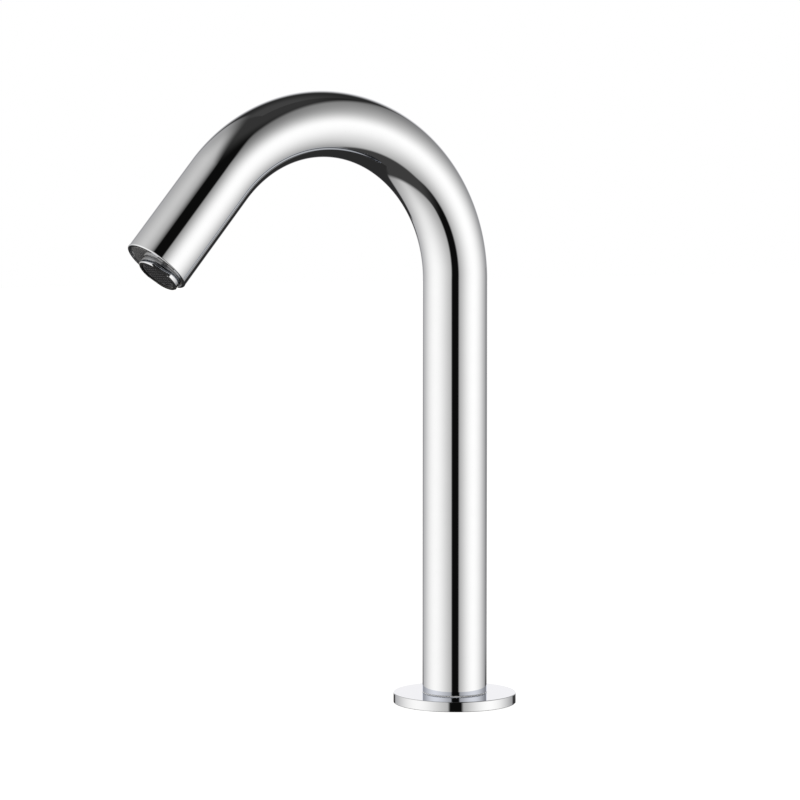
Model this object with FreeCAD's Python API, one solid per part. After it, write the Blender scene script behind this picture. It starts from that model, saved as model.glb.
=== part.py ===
"""Deck-mounted sensor tap: a bent tube spout on a round flange, with the aerator and an infrared
eye side by side in the mouth of the tube, and a threaded shank that clamps it to a worktop.

Millimetres. +Z is up, and the origin is the centre of the flange's underside, on the worktop.
The spout reaches towards -Y. X is across the tap, which is the same on both sides of X = 0.
"""
import FreeCAD
import Part
import math
import os

Vec = FreeCAD.Vector

# ---------------------------------------------------------------- driving sizes
# Spout tube
tube_diameter = 32.0
tube_wall = 1.5
column_length = 205.0          # straight, from the flange seal to the start of the bend
bend_radius = 75.0             # of the tube's centre line
bend_angle = 140.0             # degrees, so that the nose points 50 degrees below level
nose_length = 52.4             # straight, from the end of the bend to the mouth
mouth_round = 0.6              # rounding on the outer edge of the tube's mouth
foot_round = 0.2               # the same at its foot
round_limit = 0.4              # of the wall, the most that its edges are rounded by

# Flange and its seals
flange_diameter = 61.0
flange_thickness = 5.0
flange_round = 0.4
flange_underside_chamfer = 0.25
deck_seal_diameter = 52.0
deck_seal_width = 4.5
deck_seal_thickness = 1.8
column_seal_thickness = 0.4
column_seal_inset = 0.3        # how far the seal stays inside the tube's outer surface

# Threaded shank, M28 x 1.5
shank_diameter = 28.0
shank_length = 56.0            # below the worktop's surface
shank_bore = 23.0
spigot_length = 22.0           # brazed inside the foot of the tube
spigot_chamfer = 0.8
socket_bore = 24.4             # wider bore at the bottom, which holds the inlet body
thread_chamfer = 1.0

# Clamp under the worktop
worktop_thickness = 20.0       # the worktop that the tap is shown clamped to
washer_diameter = 44.0
rubber_washer_thickness = 3.0
steel_washer_thickness = 2.0
nut_across_flats = 36.0
nut_height = 8.0
nut_chamfer_angle = 30.0
nut_face_share = 0.96          # of the flats, where the turned corners start
nut_lead_in = 0.6              # chamfer of its thread

# Inlet body, in the bottom of the shank
inlet_body_length = 23.0
inlet_body_chamfer = 0.5
inlet_thread_bore = 9.0        # M10 x 1 for the tail of a flexible hose
inlet_thread_depth = 14.0
ring_thickness = 1.0
ring_groove_depth = 0.8
ring_width = 2.0
ring_gap = 12.0                # opening of the ring, which lets the lead's socket past
ring_lug_radius = 1.5
ring_lug_share = 0.6           # of that radius, from the ring's gap to the lug's centre
ring_eye_diameter = 1.2
ring_from_end = 1.4            # wall left below the ring's groove

# Hose inside the spout
hose_diameter = 9.0
hose_bore = 6.5
barb_length = 12.0
barb_bore = 4.6
barb_rib_count = 3
barb_rib_height = 0.2
barb_rib_front = 0.1           # of the ribs' pitch, the steep side of a rib
barb_rib_slope = 0.4           # of the pitch, the side that the hose slides up
barb_chamfer = 0.4
ferrule_length = 10.0
ferrule_wall = 0.5
ferrule_bead = 0.35

# Outlet block, in the mouth of the tube
waterway_offset = 3.4          # of aerator, hose and inlet from the tube's centre line, inwards
block_length = 19.5
window_thickness = 1.5
window_recess = 0.6            # of the window's face inside the mouth
chamber_diameter = 17.0
chamber_depth = 6.0
block_seal_section = 1.0
block_seal_from_back = 5.0
block_groove_share = 1.2       # width of the seal's groove, of the seal's section

# Aerator, M20 x 1
aerator_head_diameter = 21.0
aerator_head_proud = 3.0       # of the tube's mouth
aerator_head_chamfer = 0.4
aerator_thread_diameter = 20.0
aerator_thread_length = 7.0
aerator_thread_lead = 0.5      # chamfer where the thread starts
aerator_flats = 18.6           # across the two spanner flats
aerator_flat_depth = 2.5       # how far the flats run in from the outer end
aerator_flat_turn = 24.5       # degrees, where the flats stand once it is screwed home
aerator_bore = 17.6
aerator_funnel_diameter = 17.6
aerator_funnel_depth = 0.3
aerator_lip_diameter = 17.0    # what keeps the comb in
aerator_lip_thickness = 0.6
aerator_washer_thickness = 0.8
aerator_washer_bore = 15.2
strainer_flange_thickness = 0.9
strainer_dome_height = 2.6
strainer_dome_diameter = 14.0
strainer_crown_share = 0.55    # of the dome's diameter, its flat crown
strainer_inner_circle = 0.5    # of the crown's radius, and the same for the next
strainer_middle_circle = 0.98
strainer_outer_circle = 0.86   # of the dome's radius
strainer_wall = 0.5
strainer_hole = 1.1
insert_wall = 1.0              # of the strainer's and the regulator's rims
regulator_thickness = 2.9
regulator_slot_count = 8
regulator_slot_share = 0.27    # radius of a slot, of the room that it has
regulator_slot_shift = 0.3     # outwards from the middle of that room
regulator_floor_share = 0.45   # of the thickness, left open above the slots
regulator_boss_drop = 0.6
regulator_boss_diameter = 7.0
regulator_ring_section = 1.3
jet_plate_thickness = 1.4
jet_diameter = 0.8
jet_inner_count = 8
jet_inner_circle = 0.45        # of the plate's radius, and the same for the outer one
jet_outer_count = 14
jet_outer_circle = 0.7
grid_cell = 1.55               # across the flats of one hexagonal hole
grid_web = 0.4
grid_plate_thickness = 3.0
grid_rim = 0.7

# Sensor, in the front of the outlet block
pocket_rim = 1.6               # of the block, left outside the sensor's pocket
pocket_web = 0.75              # of the block, between the pocket and the aerator's thread
gasket_thickness = 0.8
pod_length = 6.2
board_thickness = 1.6
eye_diameter = 3.0
eye_spacing = 8.0
eye_recess = 0.5               # of the eye's dome behind the front of its pod
eye_drop = 0.15                # below the middle of the pod
lead_diameter = 2.6
boot_length = 9.0
boot_diameter = 4.2
boot_tip_wall = 0.3
socket_diameter = 4.8
socket_depth = 9.5             # of the socket's body inside the inlet body
socket_collar_diameter = 5.6
socket_barrel_diameter = 5.0
socket_barrel_length = 6.0     # what the lead's plug pushes over, all of it below the shank
socket_barrel_below = 0.5      # the shank's end
socket_cavity_diameter = 4.0
socket_cavity_floor = 0.5
socket_chamfer = 0.3
pin_diameter = 0.8
pin_circle = 2.2
pin_count = 3
pin_recess = 1.0               # of the pins' ends inside the socket

# Clearances
braze_gap = 0.05               # between parts that are brazed, bonded or pressed together
sliding_gap = 0.1              # between a thread or plunger and its bore
loose_gap = 0.25               # between parts that only pass through each other
washer_gap = 0.4               # between the clamp's washers and the shank
stack_gap = 0.05               # between parts that lie on each other

# ---------------------------------------------------------------- worked-out places
tube_radius = tube_diameter / 2
tube_bore_radius = tube_radius - tube_wall
column_foot = flange_thickness + column_seal_thickness
bend_start = column_foot + column_length

block_radius = tube_bore_radius - braze_gap
window_front = -window_recess
window_back = window_front - window_thickness
block_back = window_back - block_length
aerator_bore_radius = aerator_thread_diameter / 2 + sliding_gap
head_back = window_back
head_front = aerator_head_proud
housing_back = head_back - aerator_thread_length
washer_seat = housing_back - aerator_washer_thickness - stack_gap
chamber_back = washer_seat - chamber_depth
pocket_bottom = -waterway_offset + aerator_bore_radius + pocket_web
pocket_radius = block_radius - pocket_rim
pod_radius = pocket_radius - sliding_gap
pod_bottom = pocket_bottom + sliding_gap
lead_offset = pod_bottom + lead_diameter / 2 + sliding_gap
hose_radius = hose_diameter / 2
barb_radius = hose_bore / 2 - braze_gap - barb_rib_height

nut_top = -worktop_thickness - rubber_washer_thickness - steel_washer_thickness
ring_bottom = -shank_length + ring_from_end
inlet_bottom = ring_bottom + ring_thickness + stack_gap
inlet_top = inlet_bottom + inlet_body_length


# ---------------------------------------------------------------- helpers
def ring(outer, inner, low, high, y=0.0):
    """A straight ring of those two radii from low to high, its axis at (0, y)."""
    height = high - low
    body = Part.makeCylinder(outer, height, Vec(0, y, low))
    if inner > 0:
        body = body.cut(Part.makeCylinder(inner, height, Vec(0, y, low)))
    return body


def turned(points, y=0.0):
    """A lathe-turned piece: the outline of (radius, height) points spun about an axis at (0, y)."""
    corners = [Vec(r, y, z) for r, z in points]
    face = Part.Face(Part.makePolygon(corners + corners[:1]))
    return face.revolve(Vec(0, y, 0), Vec(0, 0, 1), 360)


def hexagon_prism(across_flats, low, high, x=0.0, y=0.0):
    """A hexagonal bar with two of its flats facing along X."""
    reach = across_flats / math.sqrt(3)
    corners = []
    for k in range(6):
        turn = math.radians(30 + 60 * k)
        corners.append(Vec(x + reach * math.cos(turn), y + reach * math.sin(turn), low))
    return Part.Face(Part.makePolygon(corners + corners[:1])).extrude(Vec(0, 0, high - low))


def holes_on_circle(count, circle_radius, hole_radius, low, high, y=0.0, first=0.0):
    """Drills for a circle of round holes, as a list of cylinders."""
    drills = []
    for k in range(count):
        turn = first + 2 * math.pi * k / count
        centre = Vec(circle_radius * math.cos(turn), y + circle_radius * math.sin(turn), low)
        drills.append(Part.makeCylinder(hole_radius, high - low, centre))
    return drills


def nose_placement():
    """Where the mouth of the tube is: its local +Z runs out of the mouth, and +Y to the front."""
    turn = math.radians(bend_angle)
    y = -bend_radius + bend_radius * math.cos(turn) - nose_length * math.sin(turn)
    z = bend_start + bend_radius * math.sin(turn) + nose_length * math.cos(turn)
    return FreeCAD.Placement(Vec(0, y, z), FreeCAD.Rotation(Vec(1, 0, 0), bend_angle))


def at_nose(shape):
    """Moves a piece modelled about the mouth of the tube to its place on the spout."""
    placed = shape.copy()
    placed.Placement = nose_placement().multiply(placed.Placement)
    return placed


def along_spout(outer, inner, offset, low, nose_back):
    """A tube that follows the spout at a constant offset along Y: up the column from low, round
    the bend, and down the nose to nose_back, which is measured from the mouth and is negative."""
    def section(height):
        face = Part.Face(Part.Wire(Part.makeCircle(outer, Vec(0, offset, height))))
        if inner > 0:
            face = face.cut(Part.Face(Part.Wire(Part.makeCircle(inner, Vec(0, offset, height)))))
        return face

    column = section(low).extrude(Vec(0, 0, bend_start - low))
    pivot = Vec(0, -bend_radius, bend_start)
    bend = section(bend_start).revolve(pivot, Vec(1, 0, 0), bend_angle)
    nose = at_nose(section(-nose_length).extrude(Vec(0, 0, nose_length + nose_back)))
    return column.fuse([bend, nose]).removeSplitter()


def barbed_tail(low, high, y):
    """A hose tail from low up to high, with rounded ribs, and its free end at high."""
    pitch = (high - low) / (barb_rib_count + 1)
    points = [(0.0, low), (barb_radius, low)]
    for k in range(barb_rib_count):
        rib = low + pitch * (k + 1)
        points.append((barb_radius, rib - pitch * barb_rib_front))
        points.append((barb_radius + barb_rib_height, rib))
        points.append((barb_radius, rib + pitch * barb_rib_slope))
    points += [(barb_radius, high - barb_chamfer), (barb_radius - barb_chamfer, high), (0.0, high)]
    return turned(points, y)


# ---------------------------------------------------------------- spout and flange
def end_edges(tube, centre):
    """The outer edge of the tube's end at that centre."""
    return [edge for edge in tube.Edges
            if edge.Curve.TypeId == "Part::GeomCircle"
            and abs(edge.Curve.Radius - tube_radius) < 1e-6
            and (edge.Curve.Center - centre).Length < 1e-6]


def spout_tube():
    """The bent, chromed tube, open at both ends, with the outer edges of both eased."""
    tube = along_spout(tube_radius, tube_bore_radius, 0.0, column_foot, 0.0)
    tube = tube.makeFillet(min(foot_round, tube_wall * round_limit),
                           end_edges(tube, Vec(0, 0, column_foot)))
    return tube.makeFillet(min(mouth_round, tube_wall * round_limit),
                           end_edges(tube, nose_placement().Base))


def flange():
    """The round cover plate, with a bore for the shank and a groove for the seal below."""
    outer = flange_diameter / 2
    bore = shank_diameter / 2 + loose_gap
    plate = turned([
        (bore, 0.0), (outer - flange_underside_chamfer, 0.0), (outer, flange_underside_chamfer),
        (outer, flange_thickness), (bore, flange_thickness),
    ])
    top = [e for e in plate.Edges if e.Curve.TypeId == "Part::GeomCircle"
           and abs(e.Curve.Radius - outer) < 1e-6 and e.Curve.Center.z > flange_thickness / 2]
    plate = plate.makeFillet(flange_round, top)
    groove_out = deck_seal_diameter / 2 + stack_gap
    groove_in = deck_seal_diameter / 2 - deck_seal_width - stack_gap
    return plate.cut(ring(groove_out, groove_in, 0.0, deck_seal_thickness + stack_gap))


def deck_seal():
    """The rubber ring in the flange's groove, flush with its underside once clamped."""
    outer = deck_seal_diameter / 2
    return ring(outer, outer - deck_seal_width, 0.0, deck_seal_thickness)


def column_seal():
    """The thin black ring between the foot of the tube and the flange."""
    inner = shank_diameter / 2 + loose_gap
    return ring(tube_radius - column_seal_inset, inner, flange_thickness, column_foot)


# ---------------------------------------------------------------- shank and clamp
def shank():
    """The brass tube that is brazed into the foot of the spout and threaded below it."""
    thread = shank_diameter / 2
    spigot = tube_bore_radius - braze_gap
    bore = shank_bore / 2
    socket = socket_bore / 2
    shoulder = column_foot + stack_gap
    top = column_foot + spigot_length
    body = turned([
        (socket, -shank_length), (thread - thread_chamfer, -shank_length),
        (thread, -shank_length + thread_chamfer), (thread, shoulder), (spigot, shoulder),
        (spigot, top - spigot_chamfer), (spigot - spigot_chamfer, top), (bore, top),
        (bore, inlet_top + stack_gap), (socket, inlet_top + stack_gap),
    ])
    groove = ring(socket + ring_groove_depth, socket - ring_width, ring_bottom,
                  ring_bottom + ring_thickness + stack_gap)
    return body.cut(groove)


def rubber_washer():
    """The soft washer that bears on the underside of the worktop."""
    low = -worktop_thickness - rubber_washer_thickness
    return ring(washer_diameter / 2, shank_diameter / 2 + washer_gap, low, -worktop_thickness)


def steel_washer():
    """The flat washer between the soft one and the nut."""
    high = -worktop_thickness - rubber_washer_thickness
    return ring(washer_diameter / 2, shank_diameter / 2 + washer_gap,
                high - steel_washer_thickness, high)


def lock_nut():
    """The hexagonal nut, with the corners of both faces turned off."""
    low = nut_top - nut_height
    bar = hexagon_prism(nut_across_flats, low, nut_top)
    corner = nut_across_flats / math.sqrt(3)
    face = nut_across_flats / 2 * nut_face_share
    drop = (corner - face) * math.tan(math.radians(nut_chamfer_angle))
    turned_blank = turned([
        (0.0, low), (face, low), (corner, low + drop), (corner, nut_top - drop), (face, nut_top),
        (0.0, nut_top),
    ])
    bore = shank_diameter / 2 + sliding_gap
    mouth = bore + nut_lead_in
    hole = turned([
        (0.0, low), (mouth, low), (bore, low + nut_lead_in), (bore, nut_top - nut_lead_in),
        (mouth, nut_top), (0.0, nut_top),
    ])
    return bar.common(turned_blank).cut(hole)


# ---------------------------------------------------------------- inlet
def inlet_body():
    """The brass plug in the bottom of the shank: a hose tail above, an M10 x 1 hole below."""
    radius = socket_bore / 2 - braze_gap
    cut = inlet_body_chamfer
    y = -waterway_offset
    plug = turned([
        (0.0, inlet_bottom), (radius - cut, inlet_bottom), (radius, inlet_bottom + cut),
        (radius, inlet_top - cut), (radius - cut, inlet_top), (0.0, inlet_top),
    ])
    body = plug.fuse(barbed_tail(inlet_top, inlet_top + barb_length, y))
    thread = inlet_thread_bore / 2
    passage = turned([
        (0.0, inlet_bottom), (thread, inlet_bottom),
        (thread, inlet_bottom + inlet_thread_depth),
        (barb_bore / 2, inlet_bottom + inlet_thread_depth + thread - barb_bore / 2),
        (barb_bore / 2, inlet_top + barb_length), (0.0, inlet_top + barb_length),
    ], y)
    socket_hole = Part.makeCylinder(socket_diameter / 2 + braze_gap, inlet_body_length,
                                    Vec(0, lead_offset, inlet_bottom))
    return body.cut(passage).cut(socket_hole)


def retaining_ring():
    """The spring ring that keeps the inlet body in, open at the back, with a lug at each end."""
    outer = socket_bore / 2 + ring_groove_depth - sliding_gap
    inner = outer - ring_width
    band = ring(outer, inner, ring_bottom, ring_bottom + ring_thickness)
    gap = Part.makeBox(ring_gap, outer, ring_thickness, Vec(-ring_gap / 2, 0, ring_bottom))
    band = band.cut(gap)
    for side in (-1, 1):
        lug_x = side * (ring_gap / 2 + ring_lug_radius * ring_lug_share)
        reach = inner + ring_width / 2 - ring_lug_radius
        lug_y = math.sqrt(reach ** 2 - lug_x ** 2)
        lug = Part.makeCylinder(ring_lug_radius, ring_thickness, Vec(lug_x, lug_y, ring_bottom))
        eye = Part.makeCylinder(ring_eye_diameter / 2, ring_thickness,
                                Vec(lug_x, lug_y, ring_bottom))
        band = band.fuse(lug).cut(eye)
    return band


def water_hose():
    """The hose from the inlet's tail to the outlet block's tail."""
    return along_spout(hose_radius, hose_bore / 2, -waterway_offset, inlet_top + stack_gap,
                       block_back - stack_gap)


def ferrule(low):
    """A crimped sleeve over the end of the hose, with a turned-in bead at each end."""
    inner = hose_radius + braze_gap
    outer = inner + ferrule_wall
    bead = ferrule_bead
    high = low + ferrule_length
    return turned([
        (inner, low), (outer, low), (outer + bead, low + bead), (outer + bead, low + 2 * bead),
        (outer, low + 3 * bead), (outer, high - 3 * bead), (outer + bead, high - 2 * bead),
        (outer + bead, high - bead), (outer, high), (inner, high),
    ], -waterway_offset)


# ---------------------------------------------------------------- outlet block
def pocket_solid(radius, bottom, low, high):
    """The D-shaped prism of the sensor's pocket: inside a circle, and in front of a flat."""
    disc = Part.makeCylinder(radius, high - low, Vec(0, 0, low))
    front = Part.makeBox(2 * radius, radius, high - low, Vec(-radius, bottom, low))
    return disc.common(front)


def outlet_block():
    """The brass block that is bonded into the mouth and carries aerator, sensor and hose."""
    y = -waterway_offset
    body = Part.makeCylinder(block_radius, block_length, Vec(0, 0, block_back))
    tail = barbed_tail(-block_back, -block_back + barb_length, -y)
    tail.rotate(Vec(0, 0, 0), Vec(1, 0, 0), 180)
    body = body.fuse(tail)
    passage_back = block_back - barb_length
    waterway = turned([
        (0.0, passage_back), (barb_bore / 2, passage_back), (barb_bore / 2, chamber_back),
        (chamber_diameter / 2, chamber_back), (chamber_diameter / 2, washer_seat),
        (aerator_bore_radius, washer_seat), (aerator_bore_radius, window_back),
        (0.0, window_back),
    ], y)
    groove_middle = block_back + block_seal_from_back
    half_width = block_seal_section * block_groove_share / 2
    groove = ring(tube_radius, tube_bore_radius - block_seal_section - stack_gap,
                  groove_middle - half_width, groove_middle + half_width)
    pocket = pocket_solid(pocket_radius, pocket_bottom, block_back, window_back)
    return body.cut(waterway).cut(groove).cut(pocket)


def block_o_ring():
    """The ring seal between the outlet block and the tube."""
    section = block_seal_section / 2 - braze_gap
    middle = tube_bore_radius - block_seal_section / 2
    return Part.makeTorus(middle, section, Vec(0, 0, block_back + block_seal_from_back))


def sensor_window():
    """The black, infrared-clear plate that closes the mouth round the aerator."""
    hole = aerator_head_diameter / 2 + loose_gap
    plate = Part.makeCylinder(block_radius, window_thickness, Vec(0, 0, window_back))
    return plate.cut(Part.makeCylinder(hole, window_thickness,
                                       Vec(0, -waterway_offset, window_back)))


# ---------------------------------------------------------------- aerator
def aerator_housing():
    """The chromed screw-in shell: an M20 x 1 shank and a head with a funnel and two flats."""
    head = aerator_head_diameter / 2
    thread = aerator_thread_diameter / 2
    bore = aerator_bore / 2
    lip = aerator_lip_diameter / 2
    funnel = aerator_funnel_diameter / 2
    cut = aerator_head_chamfer
    shoulder = head_back + stack_gap
    lip_back = head_front - aerator_lip_thickness
    shell = turned([
        (bore, housing_back), (thread - aerator_thread_lead, housing_back),
        (thread, housing_back + aerator_thread_lead), (thread, shoulder), (head, shoulder),
        (head, head_front - cut), (head - cut, head_front), (funnel, head_front),
        (lip, head_front - aerator_funnel_depth), (lip, lip_back), (bore, lip_back),
    ])
    flat = aerator_flats / 2
    for side in (-1, 1):
        corner = flat if side > 0 else -flat - head
        slab = Part.makeBox(head, 2 * head, aerator_flat_depth,
                            Vec(corner, -head, head_front - aerator_flat_depth))
        shell = shell.cut(slab)
    shell.rotate(Vec(0, 0, 0), Vec(0, 0, 1), aerator_flat_turn)
    shell.translate(Vec(0, -waterway_offset, 0))
    return shell


insert_radius = aerator_bore / 2 - sliding_gap
grid_front = head_front - aerator_lip_thickness - stack_gap
strainer_back = housing_back
regulator_back = strainer_back + strainer_flange_thickness + stack_gap
jet_plate_back = regulator_back + regulator_thickness + stack_gap
grid_back = jet_plate_back + jet_plate_thickness + stack_gap


def aerator_washer():
    """The rubber washer between the aerator and its seat in the block."""
    outer = aerator_bore_radius - sliding_gap
    return ring(outer, aerator_washer_bore / 2, housing_back - aerator_washer_thickness,
                housing_back, -waterway_offset)


def aerator_strainer():
    """The domed inlet strainer, with three rings of holes."""
    y = -waterway_offset
    dome = strainer_dome_diameter / 2
    wall = strainer_wall
    rise = strainer_dome_height
    flange_top = strainer_back
    flange_low = strainer_back + strainer_flange_thickness
    crown = dome * strainer_crown_share
    shell = turned([
        (0.0, flange_top - rise), (crown, flange_top - rise), (dome, flange_top),
        (insert_radius, flange_top), (insert_radius, flange_low),
        (insert_radius - insert_wall, flange_low), (dome - wall, flange_top + wall),
        (crown - wall, flange_top - rise + wall), (0.0, flange_top - rise + wall),
    ], y)
    hole = strainer_hole / 2
    low = flange_top - rise - wall
    drills = holes_on_circle(6, crown * strainer_inner_circle, hole, low, flange_low, y)
    drills += holes_on_circle(12, crown * strainer_middle_circle, hole, low, flange_low, y)
    drills += holes_on_circle(16, dome * strainer_outer_circle, hole, low, flange_low, y)
    return shell.cut(drills)


def aerator_regulator():
    """The flow regulator: a star of slots round a boss, which its soft ring sits on."""
    y = -waterway_offset
    high = regulator_back + regulator_thickness
    floor = regulator_back + regulator_thickness * regulator_floor_share
    boss = regulator_boss_diameter / 2
    boss_back = regulator_back + regulator_boss_drop
    cup = insert_radius - insert_wall
    body = turned([
        (0.0, boss_back), (boss, boss_back), (boss, floor), (cup, floor),
        (cup, regulator_back), (insert_radius, regulator_back), (insert_radius, high),
        (0.0, high),
    ], y)
    slot_circle = (boss + cup) / 2 + regulator_slot_shift
    slot_radius = (cup - boss) * regulator_slot_share
    slots = holes_on_circle(regulator_slot_count, slot_circle, slot_radius, floor, high, y)
    return body.cut(slots)


def regulator_ring():
    """The soft ring that closes on the regulator's slots as the pressure rises."""
    middle = regulator_boss_diameter / 2 + regulator_ring_section / 2 + stack_gap
    floor = regulator_back + regulator_thickness * regulator_floor_share
    section = regulator_ring_section / 2
    return Part.makeTorus(middle, section - stack_gap, Vec(0, -waterway_offset, floor - section))


def aerator_jet_plate():
    """The perforated plate that breaks the water into jets."""
    y = -waterway_offset
    high = jet_plate_back + jet_plate_thickness
    plate = ring(insert_radius, 0.0, jet_plate_back, high, y)
    jet = jet_diameter / 2
    inner = insert_radius * jet_inner_circle
    outer = insert_radius * jet_outer_circle
    jets = holes_on_circle(jet_inner_count, inner, jet, jet_plate_back, high, y)
    jets += holes_on_circle(jet_outer_count, outer, jet, jet_plate_back, high, y)
    return plate.cut(jets)


def aerator_grid():
    """The black outlet comb: a short tube closed by a plate of hexagonal holes."""
    y = -waterway_offset
    inner = insert_radius - grid_rim
    step = grid_cell + grid_web
    plate_back = grid_front - grid_plate_thickness
    cup = ring(insert_radius, inner, grid_back, grid_front, y)
    plate = ring(insert_radius - grid_rim / 2, 0.0, plate_back, grid_front, y)
    reach = min(inner, aerator_lip_diameter / 2) - grid_cell / math.sqrt(3)
    rows = int(reach / (step * math.sqrt(3) / 2)) + 1
    cells = []
    for row in range(-rows, rows + 1):
        for column in range(-rows - 1, rows + 2):
            x = (column + 0.5 * (row % 2)) * step
            up = row * step * math.sqrt(3) / 2
            if math.hypot(x, up) <= reach:
                cells.append(hexagon_prism(grid_cell, plate_back, grid_front, x, y + up))
    return cup.fuse(plate.cut(cells))


# ---------------------------------------------------------------- sensor
pod_front = window_back - gasket_thickness
pod_back = pod_front - pod_length
board_back = pod_back - board_thickness
eye_y = (pod_bottom + pod_radius) / 2 - eye_drop


def eye_drills(radius, low, high):
    """Two bores side by side, for the infrared eyes."""
    return [Part.makeCylinder(radius, high - low, Vec(side * eye_spacing / 2, eye_y, low))
            for side in (-1, 1)]


def sensor_gasket():
    """The soft black gasket between window and pod, which keeps stray light off the eyes."""
    body = pocket_solid(pod_radius, pod_bottom, pod_front + stack_gap, window_back - stack_gap)
    return body.cut(eye_drills(eye_diameter / 2 + sliding_gap, pod_front, window_back))


def sensor_pod():
    """The moulded holder of the two infrared eyes."""
    body = pocket_solid(pod_radius, pod_bottom, pod_back, pod_front)
    return body.cut(eye_drills(eye_diameter / 2 + sliding_gap, pod_back, pod_front))


def infrared_eye(side):
    """A clear 3 mm eye with a domed front, standing on the sensor's board."""
    radius = eye_diameter / 2
    x = side * eye_spacing / 2
    tip = pod_front - eye_recess
    straight = tip - radius
    low = pod_back + stack_gap
    barrel = Part.makeCylinder(radius, straight - low, Vec(x, eye_y, low))
    dome = Part.makeSphere(radius, Vec(x, eye_y, straight))
    return barrel.fuse(dome)


def sensor_board():
    """The circuit board behind the eyes."""
    return pocket_solid(pod_radius, pod_bottom, board_back, pod_back)


def sensor_potting():
    """The cast resin that fills the back of the pocket and holds the end of the lead."""
    return pocket_solid(pod_radius, pod_bottom, block_back, board_back - stack_gap)


def lead_boot():
    """The tapered strain relief where the lead leaves the resin."""
    wide = boot_diameter / 2
    inner = lead_diameter / 2 + braze_gap
    boot = turned([
        (inner, block_back - boot_length), (inner + boot_tip_wall, block_back - boot_length),
        (wide, block_back - stack_gap), (inner, block_back - stack_gap),
    ], lead_offset)
    return boot


def sensor_lead():
    """The screened lead, which follows the outer side of the spout down to its socket."""
    return along_spout(lead_diameter / 2, 0.0, lead_offset, inlet_bottom + socket_depth + stack_gap,
                       block_back - stack_gap)


def lead_socket():
    """The round three-pin socket under the shank, for the lead to the control box."""
    body = socket_diameter / 2
    collar = socket_collar_diameter / 2
    barrel = socket_barrel_diameter / 2
    shoulder = inlet_bottom - stack_gap
    step = -shank_length - socket_barrel_below
    low = step - socket_barrel_length
    cut = socket_chamfer
    shell = turned([
        (0.0, low), (barrel - cut, low), (barrel, low + cut), (barrel, step), (collar, step),
        (collar, shoulder), (body, shoulder), (body, inlet_bottom + socket_depth),
        (0.0, inlet_bottom + socket_depth),
    ], lead_offset)
    cavity = Part.makeCylinder(socket_cavity_diameter / 2, socket_barrel_length - socket_cavity_floor,
                               Vec(0, lead_offset, low))
    pins = holes_on_circle(pin_count, pin_circle / 2, pin_diameter / 2, low + pin_recess,
                           step, lead_offset, math.pi / 2)
    return shell.cut(cavity).fuse(pins)


# ---------------------------------------------------------------- the assembly
def pieces():
    """Every piece by its name, in the tap's own frame."""
    nose = nose_placement()
    parts = {
        "spout_tube": spout_tube(),
        "flange": flange(),
        "deck_seal": deck_seal(),
        "column_seal": column_seal(),
        "shank": shank(),
        "rubber_washer": rubber_washer(),
        "steel_washer": steel_washer(),
        "lock_nut": lock_nut(),
        "inlet_body": inlet_body(),
        "retaining_ring": retaining_ring(),
        "water_hose": water_hose(),
        "inlet_ferrule": ferrule(inlet_top + 2 * stack_gap),
        "sensor_lead": sensor_lead(),
        "lead_socket": lead_socket(),
    }
    in_nose = {
        "outlet_block": outlet_block(),
        "block_o_ring": block_o_ring(),
        "sensor_window": sensor_window(),
        "nose_ferrule": ferrule(block_back - 2 * stack_gap - ferrule_length),
        "aerator_housing": aerator_housing(),
        "aerator_washer": aerator_washer(),
        "aerator_strainer": aerator_strainer(),
        "aerator_regulator": aerator_regulator(),
        "regulator_ring": regulator_ring(),
        "aerator_jet_plate": aerator_jet_plate(),
        "aerator_grid": aerator_grid(),
        "sensor_gasket": sensor_gasket(),
        "sensor_pod": sensor_pod(),
        "ir_emitter": infrared_eye(-1),
        "ir_receiver": infrared_eye(1),
        "sensor_board": sensor_board(),
        "sensor_potting": sensor_potting(),
        "lead_boot": lead_boot(),
    }
    for name, shape in in_nose.items():
        parts[name] = at_nose(shape)
    print("mouth", [round(c, 3) for c in nose.Base], "waterway", -waterway_offset)
    return parts


def main():
    """Writes one STEP file for each piece."""
    os.makedirs("parts", exist_ok=True)
    for name, shape in pieces().items():
        if not shape.isValid() or shape.Volume <= 0:
            raise ValueError(name + " is not a sound solid")
        shape.exportStep(os.path.join("parts", name + ".step"))
        print(name, len(shape.Solids), "solid", len(shape.Faces), "faces",
              round(shape.Volume, 1), "mm3")


main()
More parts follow.
